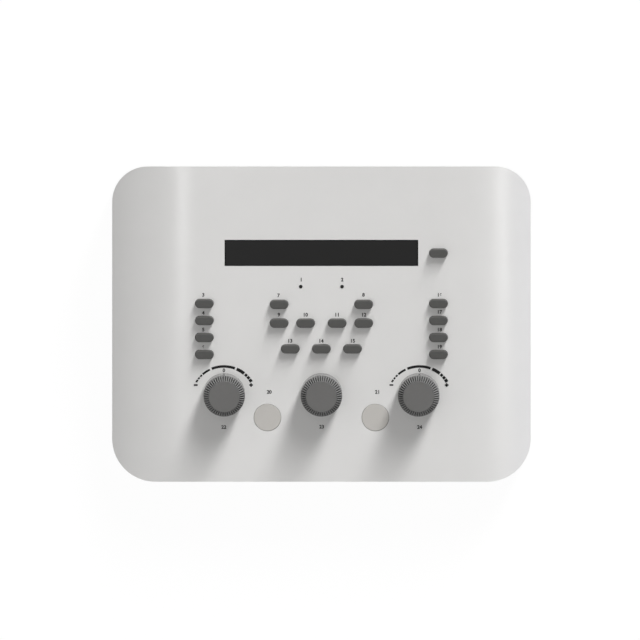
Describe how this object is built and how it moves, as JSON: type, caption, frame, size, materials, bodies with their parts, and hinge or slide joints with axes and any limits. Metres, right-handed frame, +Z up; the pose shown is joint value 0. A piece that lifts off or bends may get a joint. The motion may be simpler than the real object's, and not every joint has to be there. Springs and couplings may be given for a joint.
{
  "type": "audiometer",
  "caption": "Wedge-shaped desktop hearing tester with a sloping white panel, dark display window, pill-shaped keys, flush round keys and fluted rotary knobs.",
  "frame": {"origin": "bottom centre of the bounding box, on the table under the feet", "axes": "+X to the user's right, +Y away from the user to the rear, +Z up"},
  "size_m": [0.3, 0.226, 0.0678],
  "materials": {
    "case_white": "fine satin texture",
    "key_grey": "satin",
    "pad_grey": "satin",
    "knob_grey": "satin",
    "disc_grey": "matt",
    "window_dark": "smoked, anti-glare",
    "foam_black": "foam",
    "foot_rubber": "matt",
    "plate_metal": "brushed",
    "screw_steel": "zinc plated",
    "board_green": "solder mask",
    "black_plastic": "moulded",
    "pipe_dark": "smoked",
    "lamp_red": "clear tinted",
    "ribbon_grey": "film"
  },
  "bodies": {
    "casing": {"top_cover": "case_white", "bottom_cover": "case_white", "rear_panel": "plate_metal", "rubber_feet": "foot_rubber", "casing_screws": "screw_steel", "display_window": "window_dark", "window_gasket": "foam_black", "lcd_frame": "screw_steel", "lcd_glass": "window_dark", "lcd_backlight": "ribbon_grey", "lcd_board": "board_green", "light_pipes": "pipe_dark", "indicator_leds": "lamp_red", "keypad_board": "board_green", "key_switches": "black_plastic", "pad_switches": "black_plastic", "encoder_bodies": "screw_steel", "encoder_washers": "screw_steel", "encoder_nuts": "screw_steel", "board_screws": "screw_steel", "main_board": "board_green", "board_components": "black_plastic", "capacitors": "black_plastic", "display_ribbon": "ribbon_grey", "keypad_ribbon": "ribbon_grey", "phone_jacks": "black_plastic", "jack_nuts": "screw_steel", "usb_socket": "plate_metal", "power_inlet": "black_plastic"},
    "power_key_cap": {"power_key": "key_grey"},
    "tone_key_cap": {"tone_key": "key_grey"},
    "warble_key_cap": {"warble_key": "key_grey"},
    "speech_key_cap": {"speech_key": "key_grey"},
    "masking_key_cap": {"masking_key": "key_grey"},
    "print_key_cap": {"print_key": "key_grey"},
    "step_key_cap": {"step_key": "key_grey"},
    "options_key_cap": {"options_key": "key_grey"},
    "talkover_key_cap": {"talkover_key": "key_grey"},
    "left_ear_key_cap": {"left_ear_key": "key_grey"},
    "right_ear_key_cap": {"right_ear_key": "key_grey"},
    "pulse_key_cap": {"pulse_key": "key_grey"},
    "reverse_key_cap": {"reverse_key": "key_grey"},
    "boost_key_cap": {"boost_key": "key_grey"},
    "lock_key_cap": {"lock_key": "key_grey"},
    "air_key_cap": {"air_key": "key_grey"},
    "bone_key_cap": {"bone_key": "key_grey"},
    "freefield_key_cap": {"freefield_key": "key_grey"},
    "present_pad_cap": {"present_pad": "pad_grey"},
    "store_pad_cap": {"store_pad": "pad_grey"},
    "left_level_dial": {"left_level_knob": "knob_grey", "left_level_disc": "disc_grey", "left_level_shaft": "screw_steel"},
    "frequency_dial": {"frequency_knob": "knob_grey", "frequency_disc": "disc_grey", "frequency_shaft": "screw_steel"},
    "right_level_dial": {"right_level_knob": "knob_grey", "right_level_disc": "disc_grey", "right_level_shaft": "screw_steel"}
  },
  "joints": [
    {"name": "power_key_press", "type": "slide", "parent": "casing", "child": "power_key_cap", "axis": [0, 0.1392, -0.9903], "range_m": [0, 0.001], "stiffness_N_per_m": 800, "springref_m": -0.0008},
    {"name": "tone_key_press", "type": "slide", "parent": "casing", "child": "tone_key_cap", "axis": [0, 0.1392, -0.9903], "range_m": [0, 0.001], "stiffness_N_per_m": 800, "springref_m": -0.0008},
    {"name": "warble_key_press", "type": "slide", "parent": "casing", "child": "warble_key_cap", "axis": [0, 0.1392, -0.9903], "range_m": [0, 0.001], "stiffness_N_per_m": 800, "springref_m": -0.0008},
    {"name": "speech_key_press", "type": "slide", "parent": "casing", "child": "speech_key_cap", "axis": [0, 0.1392, -0.9903], "range_m": [0, 0.001], "stiffness_N_per_m": 800, "springref_m": -0.0008},
    {"name": "masking_key_press", "type": "slide", "parent": "casing", "child": "masking_key_cap", "axis": [0, 0.1392, -0.9903], "range_m": [0, 0.001], "stiffness_N_per_m": 800, "springref_m": -0.0008},
    {"name": "print_key_press", "type": "slide", "parent": "casing", "child": "print_key_cap", "axis": [0, 0.1392, -0.9903], "range_m": [0, 0.001], "stiffness_N_per_m": 800, "springref_m": -0.0008},
    {"name": "step_key_press", "type": "slide", "parent": "casing", "child": "step_key_cap", "axis": [0, 0.1392, -0.9903], "range_m": [0, 0.001], "stiffness_N_per_m": 800, "springref_m": -0.0008},
    {"name": "options_key_press", "type": "slide", "parent": "casing", "child": "options_key_cap", "axis": [0, 0.1392, -0.9903], "range_m": [0, 0.001], "stiffness_N_per_m": 800, "springref_m": -0.0008},
    {"name": "talkover_key_press", "type": "slide", "parent": "casing", "child": "talkover_key_cap", "axis": [0, 0.1392, -0.9903], "range_m": [0, 0.001], "stiffness_N_per_m": 800, "springref_m": -0.0008},
    {"name": "left_ear_key_press", "type": "slide", "parent": "casing", "child": "left_ear_key_cap", "axis": [0, 0.1392, -0.9903], "range_m": [0, 0.001], "stiffness_N_per_m": 800, "springref_m": -0.0008},
    {"name": "right_ear_key_press", "type": "slide", "parent": "casing", "child": "right_ear_key_cap", "axis": [0, 0.1392, -0.9903], "range_m": [0, 0.001], "stiffness_N_per_m": 800, "springref_m": -0.0008},
    {"name": "pulse_key_press", "type": "slide", "parent": "casing", "child": "pulse_key_cap", "axis": [0, 0.1392, -0.9903], "range_m": [0, 0.001], "stiffness_N_per_m": 800, "springref_m": -0.0008},
    {"name": "reverse_key_press", "type": "slide", "parent": "casing", "child": "reverse_key_cap", "axis": [0, 0.1392, -0.9903], "range_m": [0, 0.001], "stiffness_N_per_m": 800, "springref_m": -0.0008},
    {"name": "boost_key_press", "type": "slide", "parent": "casing", "child": "boost_key_cap", "axis": [0, 0.1392, -0.9903], "range_m": [0, 0.001], "stiffness_N_per_m": 800, "springref_m": -0.0008},
    {"name": "lock_key_press", "type": "slide", "parent": "casing", "child": "lock_key_cap", "axis": [0, 0.1392, -0.9903], "range_m": [0, 0.001], "stiffness_N_per_m": 800, "springref_m": -0.0008},
    {"name": "air_key_press", "type": "slide", "parent": "casing", "child": "air_key_cap", "axis": [0, 0.1392, -0.9903], "range_m": [0, 0.001], "stiffness_N_per_m": 800, "springref_m": -0.0008},
    {"name": "bone_key_press", "type": "slide", "parent": "casing", "child": "bone_key_cap", "axis": [0, 0.1392, -0.9903], "range_m": [0, 0.001], "stiffness_N_per_m": 800, "springref_m": -0.0008},
    {"name": "freefield_key_press", "type": "slide", "parent": "casing", "child": "freefield_key_cap", "axis": [0, 0.1392, -0.9903], "range_m": [0, 0.001], "stiffness_N_per_m": 800, "springref_m": -0.0008},
    {"name": "present_pad_press", "type": "slide", "parent": "casing", "child": "present_pad_cap", "axis": [0, 0.1392, -0.9903], "range_m": [0, 0.0008], "stiffness_N_per_m": 800, "springref_m": -0.0008},
    {"name": "store_pad_press", "type": "slide", "parent": "casing", "child": "store_pad_cap", "axis": [0, 0.1392, -0.9903], "range_m": [0, 0.0008], "stiffness_N_per_m": 800, "springref_m": -0.0008},
    {"name": "left_level_turn", "type": "hinge", "parent": "casing", "child": "left_level_dial", "pos_m": [-0.0697, -0.04971, 0.04489], "axis": [0, -0.1392, 0.9903], "continuous": true},
    {"name": "frequency_turn", "type": "hinge", "parent": "casing", "child": "frequency_dial", "pos_m": [0, -0.04971, 0.04489], "axis": [0, -0.1392, 0.9903], "continuous": true},
    {"name": "right_level_turn", "type": "hinge", "parent": "casing", "child": "right_level_dial", "pos_m": [0.0697, -0.04971, 0.04489], "axis": [0, -0.1392, 0.9903], "continuous": true}
  ]
}
